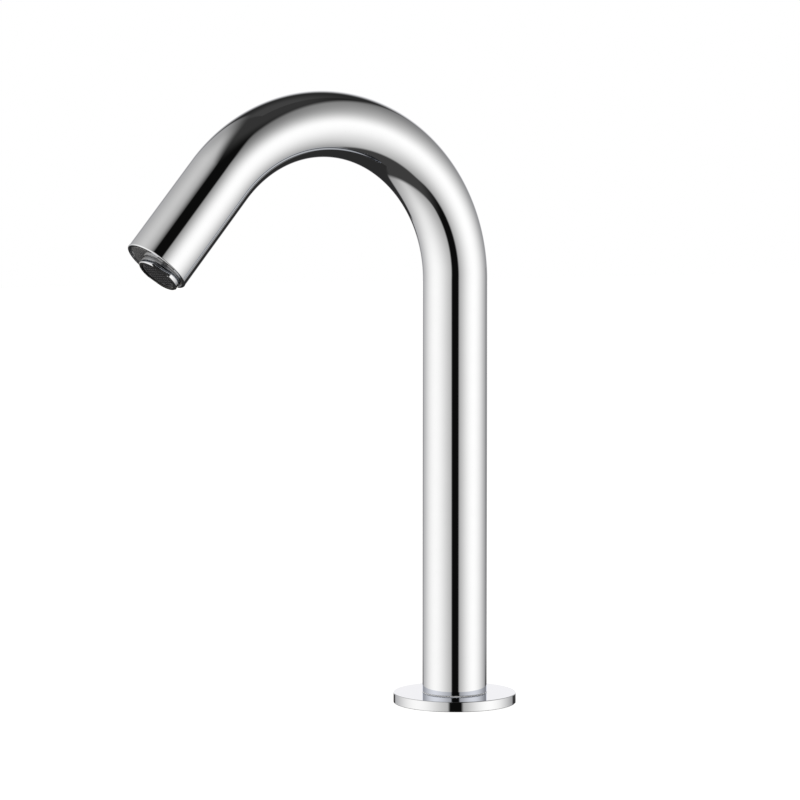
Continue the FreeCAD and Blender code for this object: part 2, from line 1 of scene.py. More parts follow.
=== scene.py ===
"""The looks of a deck-mounted sensor tap: a bent chrome spout on a round flange, the aerator and
the sensor's window in its mouth, and the threaded shank with its nut under the worktop.

Metres. +Z is up, the worktop's surface is at Z = 0, and the spout reaches towards -Y. Nearly
every piece is round about the tube's centre line, so places are given as a distance along it.
"""
import bpy
import math
import numpy as np
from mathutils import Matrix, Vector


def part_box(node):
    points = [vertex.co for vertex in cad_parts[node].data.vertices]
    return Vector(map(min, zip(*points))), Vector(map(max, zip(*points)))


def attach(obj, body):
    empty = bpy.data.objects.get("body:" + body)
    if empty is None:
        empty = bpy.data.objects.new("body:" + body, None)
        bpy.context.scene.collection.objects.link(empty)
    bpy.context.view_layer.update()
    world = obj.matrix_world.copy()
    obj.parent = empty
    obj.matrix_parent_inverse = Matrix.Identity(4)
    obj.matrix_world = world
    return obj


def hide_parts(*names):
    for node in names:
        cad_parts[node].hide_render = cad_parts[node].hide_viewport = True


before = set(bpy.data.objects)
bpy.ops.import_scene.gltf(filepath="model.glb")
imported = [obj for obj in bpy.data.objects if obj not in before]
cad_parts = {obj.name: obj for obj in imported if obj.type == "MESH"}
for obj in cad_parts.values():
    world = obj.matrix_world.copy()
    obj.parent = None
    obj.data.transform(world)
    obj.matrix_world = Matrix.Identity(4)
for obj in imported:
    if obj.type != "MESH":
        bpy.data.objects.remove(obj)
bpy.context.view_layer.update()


# ---------------------------------------------------------------- spout tube
# Column, bend and nose are one brass tube, bent round a former, polished and chromed. Its foot
# is brazed on the shank and stands on the flange; its mouth is open and has an eased edge.
bend_radius = 0.075
bend_turn = math.radians(140)
nose_length = 0.0524
tube_wall = 0.0015
mouth_round = 0.0006
foot_round = 0.0002
bore_round = 0.0001
bend_rings = 200
tube_low, tube_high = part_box("spout_tube")
tube_radius = tube_high.x
tube_bore = tube_radius - tube_wall
column_foot = tube_low.z
bend_start = tube_high.z - bend_radius - tube_radius
mouth = bend_start + bend_radius * bend_turn + nose_length


def spout_line(s):
    """The tube's centre line at each distance s above the worktop: the point there, and the
    directions along the line and square to it, towards the outside of the bend. It runs
    straight up to bend_start, round a circle of bend_radius, and straight on from there."""
    turn = np.clip((s - bend_start) / bend_radius, 0.0, bend_turn)
    past_bend = np.maximum(s - bend_start - bend_radius * bend_turn, 0.0)
    zero = np.zeros_like(s)
    along = np.stack([zero, -np.sin(turn), np.cos(turn)], -1)
    outward = np.stack([zero, np.cos(turn), np.sin(turn)], -1)
    pivot = np.stack([zero, np.full_like(s, -bend_radius), np.minimum(s, bend_start)], -1)
    return pivot + bend_radius * outward + past_bend[..., None] * along, along, outward


def around(s, radius, angle, offset=0.0):
    """Points about the spout's line: centre(s) + offset * outward + radius * (cos(angle) * X +
    sin(angle) * outward), for arrays of s, radius and angle."""
    s, radius, angle = np.broadcast_arrays(s, radius, angle)
    centre, _, outward = spout_line(s)
    points = centre + (offset + radius * np.sin(angle))[..., None] * outward
    points[..., 0] += radius * np.cos(angle)
    return points


def surface(name, points, normals=None, smooth_below=32):
    """A mesh over a grid of points, closed along its rows and its columns. Points that fall
    together become one, and the faces are turned outwards by the sign of the volume."""
    welds_per_metre = 1e7
    rows, columns = points.shape[:2]
    keys = np.round(points.reshape(-1, 3) * welds_per_metre).astype(np.int64)
    _, first, index = np.unique(keys, axis=0, return_index=True, return_inverse=True)
    vertices = points.reshape(-1, 3)[first]
    a = index.reshape(rows, columns)
    b, d = np.roll(a, -1, 1), np.roll(a, -1, 0)
    c = np.roll(b, -1, 0)
    quads = np.stack([a, b, c, d], -1).reshape(-1, 4)
    met = quads == np.roll(quads, -1, 1)
    whole = quads[~met.any(1)]
    thirds = []
    for side in range(4):
        kept = [k for k in range(4) if k != (side + 1) % 4]
        thirds.append(quads[met[:, side] & (met.sum(1) == 1)][:, kept])
    thirds = np.concatenate(thirds)
    fans = np.concatenate([whole[:, :3], whole[:, [0, 2, 3]], thirds])
    p, q, r = (vertices[fans[:, k]] for k in range(3))
    volume = np.einsum("ij,ij->", p, np.cross(q, r))
    if volume < 0:
        whole, thirds = whole[:, ::-1], thirds[:, ::-1]
    mesh = bpy.data.meshes.new(name)
    mesh.from_pydata(vertices, [], whole.tolist() + thirds.tolist())
    mesh.polygons.foreach_set("use_smooth", np.ones(len(mesh.polygons), bool))
    if normals is None:
        mesh.set_sharp_from_angle(angle=math.radians(smooth_below))
    else:
        mesh.normals_split_custom_set_from_vertices(normals.reshape(-1, 3)[first])
    piece = bpy.data.objects.new(name, mesh)
    bpy.context.scene.collection.objects.link(piece)
    return piece


def eased(corners, stations=(), steps=5, beyond=0.0):
    """A closed outline of (s, radius, rounding) corners, each turned into an arc of that radius,
    with more points at the given stations on the straight stretches whose radius is beyond a
    value. Each row of the result is s, radius and the outline's outward normal there."""
    nearly_straight = 1.57
    longest_reach = 0.45
    nearest = 1e-7
    corner = np.array([c[:2] for c in corners], float)
    rounding = [c[2] for c in corners]
    count = len(corner)
    following = np.roll(corner, -1, 0)
    ahead = following - corner
    length = np.hypot(*ahead.T)
    ahead /= length[:, None]
    area = np.sum(corner[:, 0] * following[:, 1] - following[:, 0] * corner[:, 1])
    side = np.stack([ahead[:, 1], -ahead[:, 0]], -1) * np.sign(area)
    arcs = []
    for k in range(count):
        before, after = ahead[k - 1], ahead[k]
        half = math.acos(np.clip(-before @ after, -1.0, 1.0)) / 2
        if rounding[k] <= 0 or half > nearly_straight:
            arcs.append([np.r_[corner[k], side[k]]])
            continue
        reach = min(rounding[k] / math.tan(half), longest_reach * min(length[k - 1], length[k]))
        radius = reach * math.tan(half)
        inward = (after - before) / np.linalg.norm(after - before)
        middle = corner[k] + inward * radius / math.sin(half)
        sign = np.sign((corner[k] - before * reach - middle) @ side[k - 1])
        blend = np.linspace(0.0, 1.0, steps + 1)[:, None]
        turn = math.pi - 2 * half
        normal = np.sin((1 - blend) * turn) * side[k - 1] + np.sin(blend * turn) * side[k]
        normal /= math.sin(turn)
        arcs.append(list(np.hstack([middle + sign * radius * normal, normal])))
    rows = []
    for k in range(count):
        rows += arcs[k]
        start, end = arcs[k][-1], arcs[(k + 1) % count][0]
        low, high = sorted((start[0], end[0]))
        passed = [s for s in stations if low + nearest < s < high - nearest and start[1] > beyond]
        for s in passed if end[0] > start[0] else passed[::-1]:
            share = (s - start[0]) / (end[0] - start[0])
            rows.append(np.r_[s, start[1] + share * (end[1] - start[1]), side[k]])
    return np.array(rows)


def turned(name, outline, sides=192):
    """A lathe-turned piece: an outline of eased() carried round the spout's line, with the
    outline's own normals."""
    angle = np.linspace(0.0, 2 * math.pi, sides, endpoint=False)[None, :]
    s, radius = outline[:, :1], outline[:, 1:2]
    points = around(s, radius, angle)
    _, along, outward = spout_line(np.broadcast_to(s, (len(outline), sides)))
    lengthways, sideways = outline[:, 2, None, None], outline[:, 3, None, None]
    across = np.sin(angle)[..., None] * outward
    across[..., 0] += np.cos(angle)
    return surface(name, points, lengthways * along + sideways * across)


def node(tree, kind, settings=(), **inputs):
    """Adds a shader node. An input takes a number, a colour or another node's output, and its
    name is written with _ for a space, or as i and its number."""
    made = tree.nodes.new(kind)
    for name, value in dict(settings).items():
        setattr(made, name, value)
    for name, value in inputs.items():
        numbered = name[0] == "i" and name[1:].isdigit()
        socket = made.inputs[int(name[1:]) if numbered else name.replace("_", " ")]
        if isinstance(value, bpy.types.NodeSocket):
            tree.links.new(value, socket)
        else:
            socket.default_value = value
    return made


def group_of(name, inputs, outputs):
    """An empty node group with those float inputs and outputs, and its two end nodes."""
    tree = bpy.data.node_groups.new(name, "ShaderNodeTree")
    for socket, value in inputs.items():
        made = tree.interface.new_socket(socket, in_out="INPUT", socket_type="NodeSocketFloat")
        made.default_value = value
    for socket in outputs:
        tree.interface.new_socket(socket, in_out="OUTPUT", socket_type="NodeSocketFloat")
    return tree, node(tree, "NodeGroupInput"), node(tree, "NodeGroupOutput")


# Handling and polishing leave a faint unevenness of the surface: a cloudy mask between two values.
mottle, given, result = group_of("mottle", {"Scale": 100.0, "Low": 0.0, "High": 1.0}, ["Value"])
place = node(mottle, "ShaderNodeTexCoord")
cloud = node(mottle, "ShaderNodeTexNoise", Vector=place.outputs["Object"],
             Scale=given.outputs["Scale"], Detail=5.0, Roughness=0.6)
spread = node(mottle, "ShaderNodeMapRange", Value=cloud.outputs["Fac"], From_Min=0.3, From_Max=0.7,
              To_Min=given.outputs["Low"], To_Max=given.outputs["High"])
mottle.links.new(spread.outputs["Result"], result.inputs["Value"])


def finish(name, colour, roughness, scale, shade, **constants):
    """A material whose colour varies between shade times colour and colour, and whose roughness
    varies between two values, both as clouds of about 1/scale metres. Returns it with its tree,
    its shader and its colour mix."""
    gloss_scale = 1.7 * scale
    material = bpy.data.materials.new(name)
    material.use_nodes = True
    tree = material.node_tree
    shader = tree.nodes["Principled BSDF"]
    for socket, value in constants.items():
        shader.inputs[socket.replace("_", " ")].default_value = value
    tone = node(tree, "ShaderNodeGroup", {"node_tree": mottle}, Scale=scale, Low=0.0, High=1.0)
    gloss = node(tree, "ShaderNodeGroup", {"node_tree": mottle}, Scale=gloss_scale,
                 Low=roughness[0], High=roughness[1])
    mix = node(tree, "ShaderNodeMix", {"data_type": "RGBA"}, i0=tone.outputs["Value"],
               i6=(*(c * shade for c in colour), 1.0), i7=(*colour, 1.0))
    tree.links.new(mix.outputs[2], shader.inputs["Base Color"])
    tree.links.new(gloss.outputs["Value"], shader.inputs["Roughness"])
    return material, tree, shader, mix


def raise_by(tree, shader, height, distance, strength=1.0):
    """Bumps the surface by a height from 0 to 1 times distance."""
    bump = node(tree, "ShaderNodeBump", Strength=strength, Distance=distance, Height=height)
    tree.links.new(bump.outputs["Normal"], shader.inputs["Normal"])


def wear(piece, material, body, slot, *nodes):
    """Gives a new piece its finish, lets it ride on a body and hides the plain pieces that it
    stands for."""
    piece.data.materials.append(material)
    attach(piece, body)
    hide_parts(*nodes)


chrome_colour = (0.58, 0.60, 0.635)
grazing_tint = (0.93, 0.945, 1.0, 1.0)
chrome, tree, shader, _ = finish("polished_chrome", chrome_colour, (0.01, 0.03), 140.0,
                                 shade=0.985, Metallic=1.0, Specular_Tint=grazing_tint)
buffing = node(tree, "ShaderNodeGroup", {"node_tree": mottle}, Scale=900.0, Low=0.0, High=1.0)
raise_by(tree, shader, buffing.outputs["Value"], distance=0.0000005, strength=0.3)

bend_stations = bend_start + bend_radius * np.linspace(0.0, bend_turn, bend_rings)
spout = turned("spout_shell", eased([
    (column_foot, tube_radius, foot_round), (mouth, tube_radius, mouth_round),
    (mouth, tube_bore, bore_round), (column_foot, tube_bore, bore_round),
], bend_stations))
wear(spout, chrome, "spout", "polished_chrome", "spout_tube")


# ---------------------------------------------------------------- seal at the column's foot
# A thin moulded ring of clear grey silicone lies between the tube's foot and the flange, set back
# a little from the chrome, and shows as a faint line.
grain, given, result = group_of("moulded_grain", {"Scale": 4000.0}, ["Height"])
place = node(grain, "ShaderNodeTexCoord")
pits = node(grain, "ShaderNodeTexVoronoi", Vector=place.outputs["Object"],
            Scale=given.outputs["Scale"])
grain.links.new(pits.outputs["Distance"], result.inputs["Height"])


def rubber(name, colour, shade=0.6):
    """Moulded rubber: matt, with the fine pits of its mould and cloudy dusting."""
    material, tree, shader, _ = finish(name, colour, (0.55, 0.75), 300.0, shade=shade,
                                       Specular_IOR_Level=0.35)
    pores = node(tree, "ShaderNodeGroup", {"node_tree": grain}, Scale=3500.0)
    raise_by(tree, shader, pores.outputs["Height"], distance=0.00005, strength=0.5)
    return material


silicone = rubber("clear_silicone", (0.82, 0.84, 0.87), shade=0.92)
low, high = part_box("column_seal")
squeezed = 0.00025
seal_edge = 0.0001
seal_bore = tube_bore - squeezed
seal_radius = high.x + squeezed
ring = turned("column_seal_ring", eased([
    (low.z, seal_radius, seal_edge), (high.z, seal_radius, seal_edge), (high.z, seal_bore, 0.0),
    (low.z, seal_bore, 0.0),
]))
wear(ring, silicone, "spout", "seal_rubber", "column_seal")


# ---------------------------------------------------------------- flange
# A turned brass disc, polished flat on top and chromed, with crisp eased edges. Its bore lets the
# shank through, and a groove in its underside holds the deck seal.
flange_round = 0.0004
underside_chamfer = 0.00025
groove_outer = 0.02605
groove_inner = 0.02145
groove_depth = 0.00185
flange_bore = 0.01425
edge = 0.00008
_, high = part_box("flange")
plate = turned("flange_plate", eased([
    (0.0, flange_bore, edge), (high.z, flange_bore, edge), (high.z, high.x, flange_round),
    (underside_chamfer, high.x, edge), (0.0, high.x - underside_chamfer, edge),
    (0.0, groove_outer, edge), (groove_depth, groove_outer, edge),
    (groove_depth, groove_inner, edge), (0.0, groove_inner, edge),
]), sides=256)
wear(plate, chrome, "spout", "polished_chrome", "flange")

# The deck seal is a moulded rubber ring, pressed into that groove, with a rounded lip.
seal_rubber = rubber("seal_rubber", (0.022, 0.022, 0.024))
low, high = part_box("deck_seal")
seal_width = 0.0045
lip = 0.0005
seal = turned("deck_seal_ring", eased([
    (low.z, high.x, lip), (high.z, high.x, lip), (high.z, high.x - seal_width, lip),
    (low.z, high.x - seal_width, lip),
]))
wear(seal, seal_rubber, "spout", "seal_rubber", "deck_seal")


# ---------------------------------------------------------------- shank
# Turned brass, brazed into the tube's foot, with a thread of 1.5 mm pitch below the flange. The
# lathe leaves fine rings on it, and the metal has dulled a little. The thread's crest is drawn at
# the spigot's radius, 0.45 mm over the plain piece's 14 mm.
shank_thread_pitch = 0.0015
shank_thread_depth = 0.00092
rows_in_pitch = 12
crest_share = 0.14
flank_share = 0.62

marks, given, result = group_of("lathe_marks", {"Tilt": 0.0, "Offset": 0.0},
                                ["Height", "Distance"])
place = node(marks, "ShaderNodeTexCoord")
tilt = node(marks, "ShaderNodeCombineXYZ", X=given.outputs["Tilt"])
level = node(marks, "ShaderNodeVectorRotate", {"rotation_type": "EULER_XYZ"},
             Vector=place.outputs["Object"], Rotation=tilt.outputs["Vector"])
axes = node(marks, "ShaderNodeSeparateXYZ", Vector=level.outputs["Vector"])
centred = node(marks, "ShaderNodeMath", {"operation": "SUBTRACT"}, i0=axes.outputs["Y"],
               i1=given.outputs["Offset"])
flat_place = node(marks, "ShaderNodeCombineXYZ", X=axes.outputs["X"], Y=centred.outputs["Value"])
from_axis = node(marks, "ShaderNodeVectorMath", {"operation": "LENGTH"},
                 i0=flat_place.outputs["Vector"])
profile = node(marks, "ShaderNodeCombineXYZ", X=from_axis.outputs["Value"], Z=axes.outputs["Z"])
rings = node(marks, "ShaderNodeTexNoise", Vector=profile.outputs["Vector"], Scale=3000.0,
             Detail=2.0)
marks.links.new(rings.outputs["Fac"], result.inputs["Height"])
marks.links.new(from_axis.outputs["Value"], result.inputs["Distance"])


def turned_metal(name, colour, roughness, depth=0.00001, tilt=0.0, offset=0.0):
    """Bare metal from the lathe: rings of that depth about the column's axis, or about an axis
    tilted to the nose and offset from it, on a slightly stained surface."""
    material, tree, shader, _ = finish(name, colour, roughness, 120.0, shade=0.82, Metallic=1.0)
    rings = node(tree, "ShaderNodeGroup", {"node_tree": marks}, Tilt=tilt, Offset=offset)
    raise_by(tree, shader, rings.outputs["Height"], depth)
    return material


def thread_cut(s, angle, pitch, depth):
    """How deep a right-handed thread is cut at (s, angle): a wave of s / pitch - angle / turn
    with flat crests and roots and straight flanks between them."""
    wave = np.abs(2 * np.mod(s / pitch - angle / (2 * math.pi), 1.0) - 1)
    return depth * np.clip((wave - crest_share) / flank_share, 0.0, 1.0)


def with_thread(name, outline, pitch, depth, low, high, crest, angle, offset=0.0, limit=1.0):
    """A turned piece whose cylinder at radius crest is threaded from s = low to high, running
    out over one pitch at each end. limit holds the radius down, as flats do."""
    nearly = 1e-6
    s = outline[:, :1]
    run_out = np.clip(np.minimum(s - low, high - s) / pitch, 0.0, 1.0)
    on_thread = (np.abs(outline[:, 1:2] - crest) < nearly) & (s > low) & (s < high)
    radius = outline[:, 1:2] - thread_cut(s, angle, pitch, depth) * run_out * on_thread
    return surface(name, around(s, np.minimum(radius, limit), angle, offset))


brass = turned_metal("turned_brass", (0.80, 0.60, 0.31), (0.2, 0.34))
low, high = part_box("shank")
shank_radius = high.x
fit_clearance = 0.00005
spigot = tube_bore - fit_clearance
spigot_foot = column_foot + fit_clearance
spigot_chamfer = 0.0008
shank_chamfer = 0.001
shank_bore = 0.0115
socket_bore = 0.0122
socket_depth = 0.02305
ring_from_end = 0.0014
ring_groove_width = 0.00105
ring_groove_depth = 0.0008
groove_low = low.z + ring_from_end
groove_high = groove_low + ring_groove_width
groove_radius = socket_bore + ring_groove_depth
socket_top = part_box("inlet_body")[0].z + socket_depth
thread_start = 0.0002
thread_foot = low.z + thread_start
thread_top = -0.001
thread_rows = np.arange(low.z, 0.0, shank_thread_pitch / rows_in_pitch)
shank_outline = eased([
    (low.z, socket_bore, edge), (low.z, shank_radius - shank_chamfer, edge),
    (low.z + shank_chamfer, shank_radius, 0.0), (spigot_foot, shank_radius, edge),
    (spigot_foot, spigot, edge), (high.z - spigot_chamfer, spigot, edge),
    (high.z, spigot - spigot_chamfer, edge), (high.z, shank_bore, edge),
    (socket_top, shank_bore, edge), (socket_top, socket_bore, edge),
    (groove_high, socket_bore, edge), (groove_high, groove_radius, edge),
    (groove_low, groove_radius, edge), (groove_low, socket_bore, edge),
], thread_rows, beyond=groove_radius)
shank_angle = np.linspace(0.0, 2 * math.pi, 144, endpoint=False)[None, :]
tail = with_thread("threaded_shank", shank_outline, shank_thread_pitch, shank_thread_depth,
                   thread_foot, thread_top, shank_radius, shank_angle)
wear(tail, brass, "spout", "turned_brass", "shank")


# ---------------------------------------------------------------- clamp: washers and nut
# A soft rubber washer bears on the worktop, a zinc-plated steel one spreads the load, and a brass
# hexagon nut with the same thread as the shank pulls them up.
washer_gap = 0.0004
washer_round = 0.0004
low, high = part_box("rubber_washer")
washer_bore = shank_radius + washer_gap
washer_rubber = rubber("washer_rubber", (0.03, 0.03, 0.03))
soft = turned("rubber_washer_ring", eased([
    (low.z, washer_bore, washer_round), (low.z, high.x, washer_round * 2),
    (high.z, high.x, washer_round * 2), (high.z, washer_bore, washer_round),
]))
wear(soft, washer_rubber, "clamp_washers", "washer_rubber", "rubber_washer")

zinc, tree, shader, _ = finish("zinc_steel", (0.66, 0.67, 0.69), (0.25, 0.42), 500.0, shade=0.8,
                               Metallic=1.0)
spangle = node(tree, "ShaderNodeGroup", {"node_tree": grain}, Scale=900.0)
raise_by(tree, shader, spangle.outputs["Height"], distance=0.00003, strength=0.4)
low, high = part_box("steel_washer")
stiff = turned("steel_washer_ring", eased([
    (low.z, washer_bore, washer_round / 2), (low.z, high.x, washer_round / 2),
    (high.z, high.x, washer_round), (high.z, washer_bore, washer_round),
]))
wear(stiff, zinc, "clamp_washers", "zinc_steel", "steel_washer")

nut_flats = 0.036
nut_face = 0.96
nut_chamfer_slope = math.tan(math.radians(30))
nut_corner_share = 0.985
nut_clearance = 0.0001
lead_in = 0.0006
ease = 0.0001
ease_drop = 0.00003


def hexagon(angle, flats):
    """The radius of a hexagon with two flats facing along X, its corners turned off a little."""
    to_flat = np.mod(angle + math.pi / 6, math.pi / 3) - math.pi / 6
    corner = flats / math.sqrt(3) * nut_corner_share
    return np.minimum(flats / 2 / np.cos(to_flat), corner)


low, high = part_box("lock_nut")
corner_turn = math.acos(0.5 * math.sqrt(3) / nut_corner_share)
corner_ends = math.pi / 3 * np.arange(6)[:, None] + np.array([-corner_turn, corner_turn])
nut_angle = np.append(np.linspace(0.0, 2 * math.pi, 216, endpoint=False),
                      np.mod(corner_ends, 2 * math.pi))
nut_angle = np.unique(np.round(nut_angle, 9))[None, :]
outer = hexagon(nut_angle, nut_flats)
face = nut_flats / 2 * nut_face
drop = np.maximum(outer - face, 0.0) * nut_chamfer_slope
row_step = shank_thread_pitch / rows_in_pitch
depth_rows = np.arange(low.z + lead_in, high.z - lead_in, row_step)[::-1, None]
thread = thread_cut(depth_rows, nut_angle, shank_thread_pitch, shank_thread_depth)
bore_rows = shank_radius + nut_clearance - thread
nut_mouth = shank_radius + nut_clearance + lead_in
rows = [
    (low.z, nut_mouth), (low.z, face - ease), (low.z + ease_drop, face), (low.z + drop, outer),
    (low.z + drop + ease, outer), (high.z - drop - ease, outer), (high.z - drop, outer),
    (high.z - ease_drop, face), (high.z, face - ease), (high.z, nut_mouth),
]
round_rows = [np.broadcast_to(s, nut_angle.shape) for s, _ in rows]
s_rows = np.concatenate(round_rows + [depth_rows + 0 * nut_angle])
radius_rows = [np.broadcast_to(radius, nut_angle.shape) for _, radius in rows]
r_rows = np.concatenate(radius_rows + [bore_rows])
nut = surface("hexagon_nut", around(s_rows, r_rows, nut_angle), smooth_below=25)
nut_brass = turned_metal("nut_brass", (0.78, 0.58, 0.30), (0.24, 0.36), depth=0.000006)
wear(nut, nut_brass, "clamp_nut", "nut_brass", "lock_nut")


# ---------------------------------------------------------------- inlet
# A turned brass plug closes the shank's lower end. It holds the hose's tail, an M10 x 1 hole for
# the supply hose, and the socket for the sensor's lead; a blued spring ring keeps it in.
def paint(names, material):
    """Gives its finish to each piece that keeps the shape it was modelled with."""
    for name in names:
        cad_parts[name].material_slots[0].material = material


paint(["inlet_body"], brass)
blued = finish("spring_steel", (0.13, 0.14, 0.19), (0.25, 0.4), 700.0, shade=0.6, Metallic=1.0)[0]
paint(["retaining_ring"], blued)


def plastic(name, colour, roughness, pits=0.00002, **constants):
    """Moulded plastic with a fine even grain, whose pits have that depth."""
    material, tree, shader, _ = finish(name, colour, roughness, 200.0, shade=0.85, **constants)
    pores = node(tree, "ShaderNodeGroup", {"node_tree": grain}, Scale=5000.0)
    raise_by(tree, shader, pores.outputs["Height"], pits, strength=0.4)
    return material


socket_plastic = plastic("socket_plastic", (0.03, 0.03, 0.03), (0.2, 0.35))
paint(["lead_socket"], socket_plastic)


# ---------------------------------------------------------------- hose and lead inside the spout
# A cross-linked plastic hose leads the water up the spout and is held on both tails by crimped
# steel sleeves. The sensor's black lead runs beside it and ends in a tapered boot.
cross_linked = plastic("hose_plastic", (0.82, 0.83, 0.80), (0.3, 0.45), Subsurface_Weight=0.2,
                       Subsurface_Scale=0.003)
paint(["water_hose"], cross_linked)
crimped = finish("ferrule_steel", (0.68, 0.68, 0.67), (0.18, 0.3), 400.0, shade=0.85,
                 Metallic=1.0)[0]
paint(["inlet_ferrule", "nose_ferrule"], crimped)
sheath = plastic("lead_sheath", (0.03, 0.03, 0.035), (0.4, 0.55))
paint(["sensor_lead", "lead_boot"], sheath)


# ---------------------------------------------------------------- outlet block
# The brass block bonded into the nose is turned and drilled, and an O-ring seals it. Its lathe
# rings run about the nose's axis, which passes the origin at the distance nose_axis.
nose_axis = bend_radius * (1.0 - math.cos(bend_turn)) + bend_start * math.sin(bend_turn)
block_brass = turned_metal("block_brass", (0.79, 0.59, 0.31), (0.2, 0.34), tilt=-bend_turn,
                           offset=nose_axis)
paint(["outlet_block"], block_brass)
paint(["block_o_ring", "sensor_gasket"], seal_rubber)


# ---------------------------------------------------------------- sensor
# Behind the smoked grey window a black pod holds two 3 mm infrared eyes, one clear and one dark,
# on a small board, and resin seals the back.
waterway = -0.0034
window_recess = 0.0006
window_thickness = 0.0015
window_radius = tube_bore - fit_clearance
window_hole = 0.01075
window_front = mouth - window_recess
window_back = window_front - window_thickness
window_edge = 0.00015
rim_share = 0.04

window_angle = np.linspace(0.0, 2 * math.pi, 192, endpoint=False)[None, :]


def between_circles(s, share):
    """Points a share of the way from the window's rim to the rim of its hole, at distance s."""
    rim = around(s, window_radius, window_angle)
    hole = around(s, window_hole, window_angle, waterway)
    return rim + share * (hole - rim)


window = surface("smoked_window", np.concatenate([
    between_circles(s, share) for s, share in [
        (window_back, 0.0), (window_front - window_edge, 0.0), (window_front, rim_share),
        (window_front, 0.5), (window_front, 1.0 - rim_share), (window_front - window_edge, 1.0),
        (window_back, 1.0), (window_back, 0.5),
    ]]))
smoked = plastic("window_plastic", (0.1, 0.1, 0.102), (0.12, 0.2), pits=0.000001, Coat_Weight=0.6,
                 Coat_Roughness=0.04)
wear(window, smoked, "spout", "window_plastic", "sensor_window")

pod = plastic("pod_plastic", (0.04, 0.04, 0.04), (0.45, 0.6))
clear = plastic("eye_clear", (0.75, 0.78, 0.82), (0.03, 0.08), pits=0.0, Coat_Weight=0.5)
dark = plastic("eye_dark", (0.05, 0.035, 0.08), (0.03, 0.08), pits=0.0, Coat_Weight=0.5)
laminate = plastic("board_laminate", (0.03, 0.2, 0.09), (0.3, 0.45))
resin = plastic("potting_resin", (0.03, 0.03, 0.032), (0.12, 0.3), pits=0.00005)
paint(["sensor_pod"], pod)
paint(["ir_emitter"], clear)
paint(["ir_receiver"], dark)
paint(["sensor_board"], laminate)
paint(["sensor_potting"], resin)


# ---------------------------------------------------------------- aerator
# The chromed brass shell screws into the block by an M20 x 1 thread. Its head stands out of the
# mouth and has two spanner flats and a funnel; the dark moulded comb is recessed inside.
head_proud = 0.003
head_radius = 0.0105
head_chamfer = 0.0004
shell_thread_radius = 0.010
shell_thread_length = 0.007
shell_thread_lead = 0.0005
shell_thread_pitch = 0.001
shell_thread_depth = 0.0006
thread_margin = 0.0002
flat_half = 0.0093
flat_depth = 0.0025
flat_turn = math.radians(24.5)
flat_ledge = 1e-6
shell_bore = 0.0088
funnel_radius = 0.0088
funnel_depth = 0.0003
lip_radius = 0.0085
lip_thickness = 0.0006
shoulder = window_back + fit_clearance
head_front = mouth + head_proud
flat_back = head_front - flat_depth
lip_back = head_front - lip_thickness
shell_back = window_back - shell_thread_length

head_rows = eased([
    (shell_back, shell_bore, edge), (shell_back, shell_thread_radius - shell_thread_lead, edge),
    (shell_back + shell_thread_lead, shell_thread_radius, 0.0),
    (shoulder, shell_thread_radius, edge), (shoulder, head_radius, edge),
    (flat_back, head_radius, 0.0), (flat_back, head_radius + flat_ledge, 0.0),
    (head_front - head_chamfer, head_radius, edge), (head_front, head_radius - head_chamfer, edge),
    (head_front, funnel_radius, edge), (head_front - funnel_depth, lip_radius, edge),
    (lip_back, lip_radius, edge), (lip_back, shell_bore, edge),
], np.arange(shell_back, shoulder, shell_thread_pitch / rows_in_pitch), beyond=shell_bore)

# The flats hold the radius down from the row with the ledge, which is the widest, to the front.
# Away from the flats the limit is wider than the head.
no_limit = 1.0
least_cosine = 0.5
flat_edge = math.acos(flat_half / head_radius)
flat_ends = flat_turn + np.array([[0.0], [math.pi]]) + np.array([-flat_edge, flat_edge])
head_angle = np.append(np.linspace(0.0, 2 * math.pi, 192, endpoint=False),
                       np.mod(flat_ends, 2 * math.pi))
head_angle = np.unique(np.round(head_angle, 9))[None, :]
to_flat = np.abs(np.cos(head_angle - flat_turn))
flat_limit = flat_half / np.maximum(to_flat, least_cosine)
flat_rows = np.arange(len(head_rows)) >= np.argmax(head_rows[:, 1])
limit = np.where(flat_rows[:, None], flat_limit, no_limit)
shell = with_thread("aerator_shell_ring", head_rows, shell_thread_pitch, shell_thread_depth,
                    shell_back + thread_margin, shoulder - thread_margin, shell_thread_radius,
                    head_angle, waterway, limit)

# Inside the funnel's lip and down the bore the colour is painted nearly black: painted shade of
# the recess in the aerator's mouth.
painted_bore_shade = (0.03, 0.03, 0.03, 1.0)
aerator_chrome, tree, shader, plated = finish("aerator_chrome", chrome_colour, (0.03, 0.07), 300.0,
                                              shade=0.93, Metallic=1.0)
place = node(tree, "ShaderNodeGroup", {"node_tree": marks}, Tilt=-bend_turn,
             Offset=nose_axis + waterway)
in_bore = node(tree, "ShaderNodeMapRange", Value=place.outputs["Distance"], From_Min=funnel_radius,
               From_Max=funnel_radius + edge, To_Min=1.0, To_Max=0.0)
# Painted shade: inside the funnel's radius the chrome's colour gives way to near black.
shaded_bore = node(tree, "ShaderNodeMix", {"data_type": "RGBA"}, i0=in_bore.outputs["Result"],
            i6=plated.outputs[2], i7=painted_bore_shade)
tree.links.new(shaded_bore.outputs[2], shader.inputs["Base Color"])
wear(shell, aerator_chrome, "aerator_shell", "aerator_chrome", "aerator_housing")

regulator_rubber = rubber("regulator_rubber", (0.45, 0.05, 0.03))
strainer_plastic = plastic("strainer_plastic", (0.72, 0.74, 0.75), (0.35, 0.5))
insert_plastic = plastic("insert_plastic", (0.08, 0.28, 0.46), (0.35, 0.5))
grid_plastic = plastic("grid_plastic", (0.035, 0.035, 0.038), (0.35, 0.5))
paint(["aerator_washer"], seal_rubber)
paint(["regulator_ring"], regulator_rubber)
paint(["aerator_strainer"], strainer_plastic)
paint(["aerator_regulator", "aerator_jet_plate"], insert_plastic)
paint(["aerator_grid"], grid_plastic)


